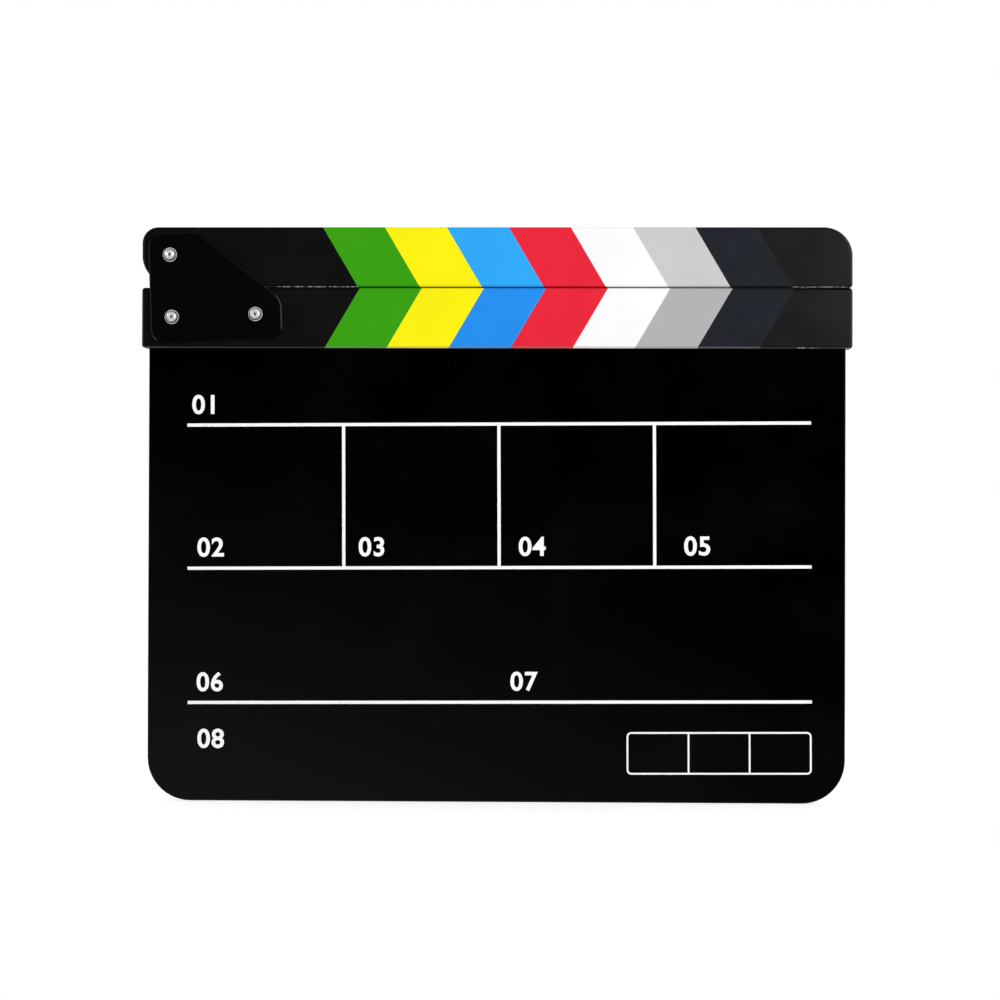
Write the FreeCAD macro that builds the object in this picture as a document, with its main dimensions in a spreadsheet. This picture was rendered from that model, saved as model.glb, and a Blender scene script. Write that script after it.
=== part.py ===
import FreeCAD, Part
import os
import Sketcher

# A clapperboard: a slate board held in the lower clap stick, and an upper clap stick that swings on a hinge
# at the left end. Millimetres. X runs along the sticks, Y from the front to the back and Z up. The origin is
# the middle of the board's bottom edge.

SIZES = {
    # Slate board
    "board_drop": 191.6,
    "board_thickness": 3.0,
    "board_corner_radius": 18.2,
    "board_edge_chamfer": 0.3,
    "tongue_margin": 4.0,
    "tongue_clearance": 0.1,
    # Clap sticks
    "stick_length": 300.0,
    "stick_height": 25.4,
    "stick_depth": 12.0,
    "stick_chamfer": 0.8,
    "stick_corner_radius": 1.3,
    "stick_overhang": 2.6,
    "clap_gap": 0.3,
    "free_end_radius": 12.0,
    "hinge_end_radius": 6.7,
    # Pivot of the upper stick
    "pivot_drop": 12.0,
    "heel_relief": 1.2,
    "heel_angle": 15.6,
    "sleeve_diameter": 5.0,
    "running_clearance": 0.05,
    "thrust_washer_diameter": 10.0,
    "thrust_washer_thickness": 0.4,
    "thrust_play": 0.1,
    # Hinge plates
    "plate_thickness": 3.0,
    "plate_heel_margin": 9.1,
    "plate_toe_margin": 11.1,
    "plate_top_margin": 8.7,
    "plate_base_margin": 10.5,
    "plate_top_reach": 12.0,
    "plate_toe_rise": 6.0,
    "plate_corner_radius": 5.0,
    "plate_toe_radius": 8.0,
    "plate_edge_chamfer": 0.5,
    "plate_tilt": 2.0,
    "fixing_screw_depth": 12.6,
    "toe_screw_reach": 35.4,
    # Screws
    "screw_diameter": 2.5,
    "screw_clearance": 0.1,
    "screw_head_diameter": 4.7,
    "screw_head_height": 2.0,
    "screw_head_bevel": 0.5,
    "screw_tail": 1.0,
    "screw_tail_chamfer": 0.35,
    "recess_span": 2.7,
    "recess_arm_width": 0.8,
    "recess_depth": 1.3,
    "pivot_recess_turn": 24.0,
    "heel_recess_turn": 61.0,
    "toe_recess_turn": 8.0,
    # Washers and lock nuts
    "washer_diameter": 6.0,
    "washer_thickness": 0.5,
    "nut_width": 5.0,
    "nut_hex_height": 2.4,
    "nut_height": 3.8,
    "nut_collar_diameter": 4.6,
    "nut_collar_bevel": 0.3,
    "nut_clearance": 0.05,
    "insert_diameter": 3.8,
    "insert_thickness": 1.1,
    "insert_recess": 0.2,
    # Magnets
    "magnet_diameter": 6.0,
    "magnet_thickness": 3.0,
    "magnet_clearance": 0.05,
    "magnet_recess": 0.1,
    "magnet_inset": 20.0,
    # Colour bars
    "film_thickness": 0.15,
    "bar_start": 84.1,
    "bar_end": 32.5,
    "bar_slant": 30.5,
    "lower_bar_shift": 0.9,
    # How far a cut runs past the face that it opens
    "cut_overrun": 1.0,
}

BAR_COLOURS = ["green", "yellow", "blue", "red", "white", "grey", "black"]
HEX_SIDES = 6

doc = FreeCAD.newDocument("Clapperboard")
sheet = doc.addObject("Spreadsheet::Sheet", "Sizes")
for row, (name, value) in enumerate(SIZES.items(), start=1):
    sheet.set(f"A{row}", name)
    sheet.set(f"B{row}", str(value))
    sheet.setAlias(f"B{row}", name)
doc.recompute()

# Places worked out from the sizes, as expressions that the features are bound to
HALF_BOARD = "(Sizes.stick_length / 2 - Sizes.stick_overhang)"
HALF_DEPTH = "(Sizes.stick_depth / 2)"
SIDE_GAP = "(Sizes.thrust_washer_thickness + Sizes.thrust_play)"
UPPER_DEPTH = f"(Sizes.stick_depth - 2 * {SIDE_GAP})"
LOWER_TOP = "(Sizes.board_drop + Sizes.stick_height)"
UPPER_BASE = f"({LOWER_TOP} + Sizes.clap_gap)"
TONGUE = "(Sizes.stick_height - Sizes.fixing_screw_depth + Sizes.tongue_margin)"
PIVOT_RISE = "(Sizes.stick_height - Sizes.pivot_drop)"
HEEL_RADIUS = f"({PIVOT_RISE} - Sizes.heel_relief)"
PIVOT_X = f"({HEEL_RADIUS} - Sizes.stick_length / 2)"
PIVOT_Z = f"({UPPER_BASE} + {PIVOT_RISE})"
SCREW_DROP = f"({PIVOT_RISE} + Sizes.clap_gap + Sizes.fixing_screw_depth)"
HEEL_X = f"({PIVOT_X} + {SCREW_DROP} * sin(Sizes.plate_tilt))"
HEEL_Z = f"({PIVOT_Z} - {SCREW_DROP} * cos(Sizes.plate_tilt))"
TOE_X = f"({HEEL_X} + Sizes.toe_screw_reach * cos(Sizes.plate_tilt))"
TOE_Z = f"({HEEL_Z} + Sizes.toe_screw_reach * sin(Sizes.plate_tilt))"
PLATE_FACE = f"({HALF_DEPTH} + Sizes.plate_thickness)"
WASHER_FACE = f"({PLATE_FACE} + Sizes.washer_thickness)"
SCREW_LENGTH = f"(2 * {WASHER_FACE} + Sizes.nut_height + Sizes.screw_tail)"
SCREW_HOLE = "(Sizes.screw_diameter + 2 * Sizes.screw_clearance)"
NUT_BORE = "(Sizes.screw_diameter + 2 * Sizes.nut_clearance)"
SLEEVE_BORE = "(Sizes.sleeve_diameter + 2 * Sizes.running_clearance)"
MAGNET_X = "(Sizes.stick_length / 2 - Sizes.magnet_inset)"
MAGNET_HOLE = "(Sizes.magnet_diameter + 2 * Sizes.magnet_clearance)"
MAGNET_POCKET = "(Sizes.magnet_thickness + Sizes.magnet_recess)"
BAR_PITCH = f"((Sizes.stick_length - Sizes.bar_start - Sizes.bar_end) / {len(BAR_COLOURS)})"

# The three screws, each with its place in the front view and the turn of its cross recess
SCREW_PLACES = {
    "pivot": (PIVOT_X, PIVOT_Z, "Sizes.pivot_recess_turn"),
    "heel": (HEEL_X, HEEL_Z, "Sizes.heel_recess_turn"),
    "toe": (TOE_X, TOE_Z, "Sizes.toe_recess_turn"),
}

TOWARDS_FRONT = FreeCAD.Vector(0, -1, 0)
ALONG_STICK = FreeCAD.Vector(1, 0, 0)
SKETCH_ACROSS = FreeCAD.Vector(1, 0, 0)
SAME_PLACE = 1e-4
sub_parts = []


def size(expression):
    return float(sheet.evalExpression(expression))


def add_body(label, place=("0", "0", "0"), is_sub_part=True):
    body = doc.addObject("PartDesign::Body", label)
    body.Label = label
    for axis, expression in zip("xyz", place):
        body.setExpression(f"Placement.Base.{axis}", expression)
    if is_sub_part:
        sub_parts.append(body)
    return body


def turn_body(body, angle):
    """Turn a body in the front view, anticlockwise as seen from the front."""
    body.Placement.Rotation = FreeCAD.Rotation(TOWARDS_FRONT, size(angle))
    body.setExpression("Placement.Rotation.Angle", angle)


def add_sketch(body, role, name):
    sketch = body.newObject("Sketcher::SketchObject", f"{body.Name}_{name}")
    plane = next(feature for feature in body.Origin.OriginFeatures if feature.Role == role)
    sketch.AttachmentSupport = (plane, [""])
    sketch.MapMode = "FlatFace"
    return sketch


def bind_point(sketch, geometry, point, across, up):
    """Hold one point of a sketch at two expressions, measured from the sketch's origin."""
    for kind, expression in (("DistanceX", across), ("DistanceY", up)):
        constraint = Sketcher.Constraint(kind, -1, 1, geometry, point, size(expression))
        index = sketch.addConstraint(constraint)
        sketch.setExpression(f"Constraints[{index}]", expression)


def draw_polygon(sketch, corners):
    """Draw a closed outline through corners given as pairs of expressions."""
    points = [FreeCAD.Vector(size(across), size(up), 0) for across, up in corners]
    ends = points[1:] + points[:1]
    lines = [sketch.addGeometry(Part.LineSegment(a, b), False) for a, b in zip(points, ends)]
    for line, following in zip(lines, lines[1:] + lines[:1]):
        sketch.addConstraint(Sketcher.Constraint("Coincident", line, 2, following, 1))
    for line, (across, up) in zip(lines, corners):
        bind_point(sketch, line, 1, across, up)


def draw_rectangle(sketch, left, right, low, high):
    draw_polygon(sketch, [(left, low), (right, low), (right, high), (left, high)])


def draw_circle(sketch, across, up, diameter):
    centre = FreeCAD.Vector(size(across), size(up), 0)
    normal = FreeCAD.Vector(0, 0, 1)
    circle = sketch.addGeometry(Part.Circle(centre, normal, size(diameter) / 2), False)
    bind_point(sketch, circle, 3, across, up)
    index = sketch.addConstraint(Sketcher.Constraint("Diameter", circle, size(diameter)))
    sketch.setExpression(f"Constraints[{index}]", diameter)


def add_pad(body, sketch, length, side="One side", towards_back=False):
    """Pad a sketch. One drawn in the front view grows towards the front unless it is sent to the back."""
    pad = body.newObject("PartDesign::Pad", f"{sketch.Name}_pad")
    pad.Profile = sketch
    pad.SideType = side
    pad.Reversed = towards_back
    pad.setExpression("Length", length)
    doc.recompute()
    return pad


def add_pocket(body, sketch, depth=None, flip=False):
    """Cut a sketch out of a body, right through on both sides where no depth is given."""
    before = body.Shape.Volume
    pocket = body.newObject("PartDesign::Pocket", f"{sketch.Name}_pocket")
    pocket.Profile = sketch
    pocket.Reversed = flip
    if depth is None:
        pocket.Type = "ThroughAll"
        pocket.SideType = "Symmetric"
    else:
        pocket.setExpression("Length", depth)
    doc.recompute()
    if not body.Shape.Volume < before:
        raise RuntimeError(f"{pocket.Label} cuts nothing")
    return pocket


def edges_where(feature, wanted):
    edges = feature.Shape.Edges
    return [f"Edge{number}" for number, edge in enumerate(edges, start=1) if wanted(edge)]


def corner_edges(feature, corners):
    """Edges that run from front to back at the given corners of the front view."""
    spots = [(size(across), size(up)) for across, up in corners]

    def at_a_corner(edge):
        box = edge.BoundBox
        thin = max(box.XLength, box.ZLength) < SAME_PLACE
        near = [max(abs(box.Center.x - x), abs(box.Center.z - z)) < SAME_PLACE for x, z in spots]
        return thin and any(near)

    return edges_where(feature, at_a_corner)


def face_edges(feature, depth):
    """Edges that lie in the plane at one depth from the front."""
    level = size(depth)

    def in_plane(edge):
        box = edge.BoundBox
        return max(abs(box.YMin - level), abs(box.YMax - level)) < SAME_PLACE

    return edges_where(feature, in_plane)


def add_dressing(body, kind, edges, size_name, expression):
    """Round or bevel edges of the last feature of a body."""
    base = body.Tip
    dressing = body.newObject(f"PartDesign::{kind}", f"{body.Name}_{kind.lower()}")
    dressing.Base = (base, edges)
    dressing.setExpression(size_name, expression)
    doc.recompute()
    return dressing


def round_corners(body, corners, radius):
    return add_dressing(body, "Fillet", corner_edges(body.Tip, corners), "Radius", radius)


def bevel_faces(body, depths, width):
    edges = [edge for depth in depths for edge in face_edges(body.Tip, depth)]
    return add_dressing(body, "Chamfer", edges, "Size", width)


def cut_screw_holes(body, places):
    sketch = add_sketch(body, "XZ_Plane", "holes")
    for across, up in places:
        draw_circle(sketch, across, up, SCREW_HOLE)
    add_pocket(body, sketch)


def cut_magnet_pocket(body, across, face, from_below):
    """Sink the seat of a magnet into the meeting face of a stick."""
    sketch = add_sketch(body, "XY_Plane", "magnet_seat")
    sketch.setExpression("AttachmentOffset.Base.z", face)
    draw_circle(sketch, across, "0", MAGNET_HOLE)
    add_pocket(body, sketch, MAGNET_POCKET, flip=from_below)


def make_board():
    """Acrylic panel whose top edge is a tongue inside the lower stick."""
    body = add_body("slate_board")
    left = f"-{HALF_BOARD}"
    right = HALF_BOARD
    sketch = add_sketch(body, "XZ_Plane", "outline")
    draw_rectangle(sketch, left, right, "0", f"Sizes.board_drop + {TONGUE}")
    add_pad(body, sketch, "Sizes.board_thickness", "Symmetric")
    round_corners(body, [(left, "0"), (right, "0")], "Sizes.board_corner_radius")
    bevel_faces(body, ["-Sizes.board_thickness / 2", "Sizes.board_thickness / 2"], "Sizes.board_edge_chamfer")
    cut_screw_holes(body, [(HEEL_X, HEEL_Z), (TOE_X, TOE_Z)])


def make_lower_stick():
    """Fixed bar, grooved from below for the board."""
    body = add_body("lower_stick")
    left = "-Sizes.stick_length / 2"
    right = "Sizes.stick_length / 2"
    sketch = add_sketch(body, "XZ_Plane", "outline")
    draw_rectangle(sketch, left, right, "Sizes.board_drop", LOWER_TOP)
    add_pad(body, sketch, "Sizes.stick_depth", "Symmetric")
    corners = [(x, z) for x in (left, right) for z in ("Sizes.board_drop", LOWER_TOP)]
    round_corners(body, corners, "Sizes.stick_corner_radius")
    bevel_faces(body, [f"-{HALF_DEPTH}", HALF_DEPTH], "Sizes.stick_chamfer")
    groove = add_sketch(body, "YZ_Plane", "groove")
    half_groove = "(Sizes.board_thickness / 2 + Sizes.tongue_clearance)"
    groove_low = "Sizes.board_drop - Sizes.cut_overrun"
    groove_high = f"Sizes.board_drop + {TONGUE} + Sizes.tongue_clearance"
    draw_rectangle(groove, f"-{half_groove}", half_groove, groove_low, groove_high)
    add_pocket(body, groove)
    cut_screw_holes(body, [(HEEL_X, HEEL_Z), (TOE_X, TOE_Z)])
    cut_magnet_pocket(body, MAGNET_X, LOWER_TOP, from_below=False)


def make_upper_stick():
    """Swinging bar, drawn about its pivot, with a heel that is round about the pivot."""
    body = add_body("upper_stick", (PIVOT_X, "0", PIVOT_Z))
    left = f"-{HEEL_RADIUS}"
    right = f"Sizes.stick_length - {HEEL_RADIUS}"
    top = "Sizes.pivot_drop"
    base = f"-{PIVOT_RISE}"
    sine = "sin(Sizes.heel_angle)"
    cosine = "cos(Sizes.heel_angle)"
    heel_corner = (left, f"-{HEEL_RADIUS} * (1 - {sine}) / {cosine}")
    heel_end = (f"({PIVOT_RISE} * {cosine} - {HEEL_RADIUS}) / {sine}", base)
    sketch = add_sketch(body, "XZ_Plane", "outline")
    draw_polygon(sketch, [(left, top), heel_corner, heel_end, (right, base), (right, top)])
    add_pad(body, sketch, UPPER_DEPTH, "Symmetric")
    round_corners(body, [heel_corner], HEEL_RADIUS)
    round_corners(body, [(left, top)], "Sizes.hinge_end_radius")
    round_corners(body, [(right, top)], "Sizes.free_end_radius")
    round_corners(body, [(right, base)], "Sizes.stick_corner_radius")
    bevel_faces(body, [f"-{UPPER_DEPTH} / 2", f"{UPPER_DEPTH} / 2"], "Sizes.stick_chamfer")
    bore = add_sketch(body, "XZ_Plane", "bore")
    draw_circle(bore, "0", "0", SLEEVE_BORE)
    add_pocket(body, bore)
    cut_magnet_pocket(body, f"{MAGNET_X} - {PIVOT_X}", base, from_below=True)


def make_hinge_plate(label, at_back):
    """Five-sided cheek, drawn about the pivot, with its outer edges bevelled."""
    sign = "" if at_back else "-"
    body = add_body(label, (PIVOT_X, f"{sign}{HALF_DEPTH}", PIVOT_Z))
    turn_body(body, "Sizes.plate_tilt")
    left = "-Sizes.plate_heel_margin"
    right = "Sizes.toe_screw_reach + Sizes.plate_toe_margin"
    top = "Sizes.plate_top_margin"
    low = f"-{SCREW_DROP} - Sizes.plate_base_margin"
    brow = ("Sizes.plate_top_reach", top)
    toe = (right, f"-{SCREW_DROP} + Sizes.plate_toe_rise")
    sketch = add_sketch(body, "XZ_Plane", "outline")
    draw_polygon(sketch, [(left, top), (left, low), (right, low), toe, brow])
    add_pad(body, sketch, "Sizes.plate_thickness", towards_back=at_back)
    round_corners(body, [toe], "Sizes.plate_toe_radius")
    round_corners(body, [(left, top), (left, low), (right, low), brow], "Sizes.plate_corner_radius")
    bevel_faces(body, [f"{sign}Sizes.plate_thickness"], "Sizes.plate_edge_chamfer")
    cut_screw_holes(body, [("0", "0"), ("0", f"-{SCREW_DROP}"), ("Sizes.toe_screw_reach", f"-{SCREW_DROP}")])


def make_ring(label, place, outer, bore, thickness, is_sub_part=True):
    """Washer or sleeve whose back face is at the given place."""
    body = add_body(label, place, is_sub_part)
    sketch = add_sketch(body, "XZ_Plane", "outline")
    draw_circle(sketch, "0", "0", outer)
    draw_circle(sketch, "0", "0", bore)
    add_pad(body, sketch, thickness)
    return body


def make_sleeve_and_thrust_washers():
    """Spacer tube clamped between the plates, and the slip washers at its two ends."""
    make_ring("pivot_sleeve", (PIVOT_X, HALF_DEPTH, PIVOT_Z), "Sizes.sleeve_diameter", SCREW_HOLE,
              "Sizes.stick_depth")
    front_back_face = f"Sizes.thrust_washer_thickness - {HALF_DEPTH}"
    for label, back_face in (("thrust_washer_front", front_back_face), ("thrust_washer_rear", HALF_DEPTH)):
        make_ring(label, (PIVOT_X, back_face, PIVOT_Z), "Sizes.thrust_washer_diameter", SLEEVE_BORE,
                  "Sizes.thrust_washer_thickness")


def make_screw(label, place, turn, is_sub_part):
    """Pan-head screw with a cross recess, drawn from the seat of its head."""
    body = add_body(label, place, is_sub_part)
    turn_body(body, turn)
    head_edge = "Sizes.screw_head_diameter / 2"
    head_top = "-Sizes.screw_head_height"
    shank = "Sizes.screw_diameter / 2"
    tail = f"{SCREW_LENGTH} - Sizes.screw_tail_chamfer"
    tip = f"{shank} - Sizes.screw_tail_chamfer"
    profile = add_sketch(body, "XY_Plane", "profile")
    draw_polygon(profile, [("0", head_top), (head_edge, head_top), (head_edge, "0"), (shank, "0"),
                           (shank, tail), (tip, SCREW_LENGTH), ("0", SCREW_LENGTH)])
    turned = body.newObject("PartDesign::Revolution", f"{label}_turned")
    turned.Profile = profile
    turned.ReferenceAxis = (profile, ["V_Axis"])
    doc.recompute()
    rim = face_edges(turned, head_top)
    add_dressing(body, "Chamfer", rim, "Size", "Sizes.screw_head_bevel")
    recess = add_sketch(body, "XZ_Plane", "recess")
    recess.setExpression("AttachmentOffset.Base.z", "Sizes.screw_head_height")
    span = "Sizes.recess_span / 2"
    arm = "Sizes.recess_arm_width / 2"
    quarter = [(span, arm), (arm, arm), (arm, span)]
    left_quarter = [(f"-{across}", up) for across, up in reversed(quarter)]
    upper_half = quarter + left_quarter
    lower_half = [(across, f"-{up}") for across, up in reversed(upper_half)]
    draw_polygon(recess, upper_half + lower_half)
    add_pocket(body, recess, "Sizes.recess_depth")
    return body


def make_lock_nut(label, place):
    """Hexagon nut whose round collar holds a plastic ring, drawn from its seat towards the back."""
    body = add_body(label, place, is_sub_part=False)
    corner_radius = "Sizes.nut_width / sqrt(3)"
    angles = [360 / HEX_SIDES * side for side in range(HEX_SIDES)]
    hexagon = add_sketch(body, "XZ_Plane", "hexagon")
    draw_polygon(hexagon, [(f"{corner_radius} * cos({a})", f"{corner_radius} * sin({a})") for a in angles])
    add_pad(body, hexagon, "Sizes.nut_hex_height", towards_back=True)
    collar = add_sketch(body, "XZ_Plane", "collar")
    draw_circle(collar, "0", "0", "Sizes.nut_collar_diameter")
    add_pad(body, collar, "Sizes.nut_height", towards_back=True)
    rim = face_edges(body.Tip, "Sizes.nut_height")
    add_dressing(body, "Chamfer", rim, "Size", "Sizes.nut_collar_bevel")
    bore = add_sketch(body, "XZ_Plane", "bore")
    draw_circle(bore, "0", "0", NUT_BORE)
    add_pocket(body, bore)
    seat = add_sketch(body, "XZ_Plane", "insert_seat")
    seat.setExpression("AttachmentOffset.Base.z", "-Sizes.nut_height")
    draw_circle(seat, "0", "0", "Sizes.insert_diameter")
    add_pocket(body, seat, "Sizes.insert_thickness + Sizes.insert_recess", flip=True)
    return body


def group(label, members):
    """Join like fasteners, each still a solid of its own, as one sub-part."""
    compound = doc.addObject("Part::Compound", label)
    compound.Label = label
    compound.Links = members
    sub_parts.append(compound)


def make_fasteners():
    """Screws, washers and lock nuts at the pivot and at the two fixing holes."""
    fixing_screws = []
    head_washers = []
    nut_washers = []
    nuts = []
    inserts = []
    for name, (x, z, turn) in SCREW_PLACES.items():
        is_pivot = name == "pivot"
        screw = make_screw(f"{name}_screw", (x, f"-{WASHER_FACE}", z), turn, is_sub_part=is_pivot)
        if not is_pivot:
            fixing_screws.append(screw)
        for members, side, back_face in ((head_washers, "head", f"-{PLATE_FACE}"),
                                         (nut_washers, "nut", WASHER_FACE)):
            members.append(make_ring(f"{name}_{side}_washer", (x, back_face, z), "Sizes.washer_diameter",
                                     SCREW_HOLE, "Sizes.washer_thickness", is_sub_part=False))
        nuts.append(make_lock_nut(f"{name}_lock_nut", (x, WASHER_FACE, z)))
        insert_back = f"{WASHER_FACE} + Sizes.nut_height - Sizes.insert_recess"
        inserts.append(make_ring(f"{name}_insert", (x, insert_back, z), "Sizes.insert_diameter", NUT_BORE,
                                 "Sizes.insert_thickness", is_sub_part=False))
    group("fixing_screws", fixing_screws)
    group("head_washers", head_washers)
    group("nut_washers", nut_washers)
    group("lock_nuts", nuts)
    group("lock_nut_inserts", inserts)


def make_magnet(label, low_face):
    """Disc magnet, drawn from its lower face."""
    disc = doc.addObject("Part::Cylinder", label)
    disc.Label = label
    disc.setExpression("Radius", "Sizes.magnet_diameter / 2")
    disc.setExpression("Height", "Sizes.magnet_thickness")
    disc.setExpression("Placement.Base.x", MAGNET_X)
    disc.setExpression("Placement.Base.z", low_face)
    sub_parts.append(disc)


def make_magnets():
    make_magnet("lower_magnet", f"{LOWER_TOP} - {MAGNET_POCKET}")
    make_magnet("upper_magnet", f"{UPPER_BASE} + Sizes.magnet_recess")


def film_corners(face, wraps_below):
    """Section of a film that lies on the front of a stick and folds over its upper bevel.

    It is drawn in the slanted plane of the bar's edge, so heights are stretched by the slant.
    """
    skin = f"{face} - Sizes.film_thickness"
    fold = "(Sizes.stick_height / 2 - Sizes.stick_chamfer)"
    outer_fold = f"({fold} + Sizes.film_thickness * (sqrt(2) - 1))"
    lip = f"{face} + Sizes.stick_chamfer"
    outer_lip = f"{lip} - Sizes.film_thickness * sqrt(2)"
    edge = "(Sizes.stick_height / 2)"
    corners = [(face, fold), (lip, edge), (outer_lip, edge), (skin, outer_fold)]
    if wraps_below:
        corners += [(across, f"-{up}") for across, up in reversed(corners)]
    else:
        corners += [(skin, f"-{fold}"), (face, f"-{fold}")]
    return [(across, f"({up}) / cos(Sizes.bar_slant)") for across, up in corners]


def make_colour_bar(label, start, middle, face, slant, wraps_below):
    """Slanted film, its section carried along the stick by one pitch."""
    body = add_body(label, (start, "0", middle))
    section = add_sketch(body, "YZ_Plane", "section")
    lean = FreeCAD.Rotation(SKETCH_ACROSS, size(slant))
    section.AttachmentOffset = FreeCAD.Placement(FreeCAD.Vector(), lean)
    section.setExpression("AttachmentOffset.Rotation.Angle", slant)
    draw_polygon(section, film_corners(face, wraps_below))
    bar = body.newObject("PartDesign::Pad", f"{label}_bar")
    bar.Profile = section
    bar.UseCustomVector = True
    bar.Direction = ALONG_STICK
    bar.AlongSketchNormal = False
    bar.setExpression("Length", BAR_PITCH)
    doc.recompute()


def make_colour_bars():
    """Bars that lean at the seam, so that each pair makes an arrow towards the free end."""
    upper_start = "Sizes.bar_start - Sizes.stick_length / 2"
    lower_start = f"{upper_start} + Sizes.lower_bar_shift"
    lower_middle = "Sizes.board_drop + Sizes.stick_height / 2"
    upper_middle = f"{UPPER_BASE} + Sizes.stick_height / 2"
    lower_face = f"-{HALF_DEPTH}"
    upper_face = f"-{UPPER_DEPTH} / 2"
    for order, colour in enumerate(BAR_COLOURS):
        along = f"{order} * {BAR_PITCH}"
        make_colour_bar(f"lower_bar_{colour}", f"{lower_start} + {along}", lower_middle, lower_face,
                        "Sizes.bar_slant", wraps_below=False)
        make_colour_bar(f"upper_bar_{colour}", f"{upper_start} + {along}", upper_middle, upper_face,
                        "-Sizes.bar_slant", wraps_below=True)


def check_document():
    doc.recompute()
    for item in doc.Objects:
        if "Invalid" in item.State or "Error" in item.State:
            raise RuntimeError(f"{item.Label} failed: {item.State}")
    for item in sub_parts:
        if item.Shape.isNull() or not item.Shape.isValid():
            raise RuntimeError(f"{item.Label} has no valid shape")


def export_parts():
    os.makedirs("parts", exist_ok=True)
    for item in sub_parts:
        item.Shape.exportStep(os.path.join("parts", f"{item.Label}.step"))


make_board()
make_lower_stick()
make_upper_stick()
make_hinge_plate("hinge_plate_front", at_back=False)
make_hinge_plate("hinge_plate_rear", at_back=True)
make_sleeve_and_thrust_washers()
make_fasteners()
make_magnets()
make_colour_bars()
check_document()
export_parts()
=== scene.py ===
"""Looks of a clapperboard: its finishes, printed marks, machine screws, studio light and camera."""

import math

import bmesh
import bpy
from mathutils import Matrix, Vector


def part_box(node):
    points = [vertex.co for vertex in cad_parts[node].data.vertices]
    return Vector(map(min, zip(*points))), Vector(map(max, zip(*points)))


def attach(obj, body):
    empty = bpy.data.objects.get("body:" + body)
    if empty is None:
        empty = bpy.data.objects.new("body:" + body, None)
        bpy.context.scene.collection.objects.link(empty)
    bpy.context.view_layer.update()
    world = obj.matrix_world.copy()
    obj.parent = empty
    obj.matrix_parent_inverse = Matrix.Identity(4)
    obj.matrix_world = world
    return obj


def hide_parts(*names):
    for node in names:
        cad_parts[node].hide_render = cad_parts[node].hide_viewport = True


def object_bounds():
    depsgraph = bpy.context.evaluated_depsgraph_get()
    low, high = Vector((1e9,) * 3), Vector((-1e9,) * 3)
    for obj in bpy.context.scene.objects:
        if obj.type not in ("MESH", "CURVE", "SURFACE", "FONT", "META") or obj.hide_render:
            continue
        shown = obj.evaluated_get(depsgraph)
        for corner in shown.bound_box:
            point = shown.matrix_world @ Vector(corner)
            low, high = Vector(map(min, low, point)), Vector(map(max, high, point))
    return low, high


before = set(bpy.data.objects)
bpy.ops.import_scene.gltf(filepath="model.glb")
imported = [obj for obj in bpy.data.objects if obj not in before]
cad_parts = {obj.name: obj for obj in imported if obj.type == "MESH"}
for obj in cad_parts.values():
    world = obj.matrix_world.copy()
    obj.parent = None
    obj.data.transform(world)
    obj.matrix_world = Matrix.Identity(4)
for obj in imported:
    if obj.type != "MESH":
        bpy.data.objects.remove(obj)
CAD_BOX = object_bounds()

MM = 0.001
FULL_TURN = 2 * math.pi

# How a share goes over a range of values
RISING = (0.0, 1.0)
FALLING = (1.0, 0.0)

# Detail of a noise, from plain to fine, and the range that most of its values lie in
PLAIN = 1.0
SOFT = 2.0
CLOUDY = 3.0
FINE = 4.0
NOISE_SPREAD = (0.3, 0.7)

# Share of a speck's radius inside its soft rim
SPECK_CORE_SHARE = 0.4


def metres(pair):
    """A range in millimetres, given in metres."""
    return tuple(value * MM for value in pair)


def grey(level):
    """An opaque grey."""
    return (level, level, level, 1.0)


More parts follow.
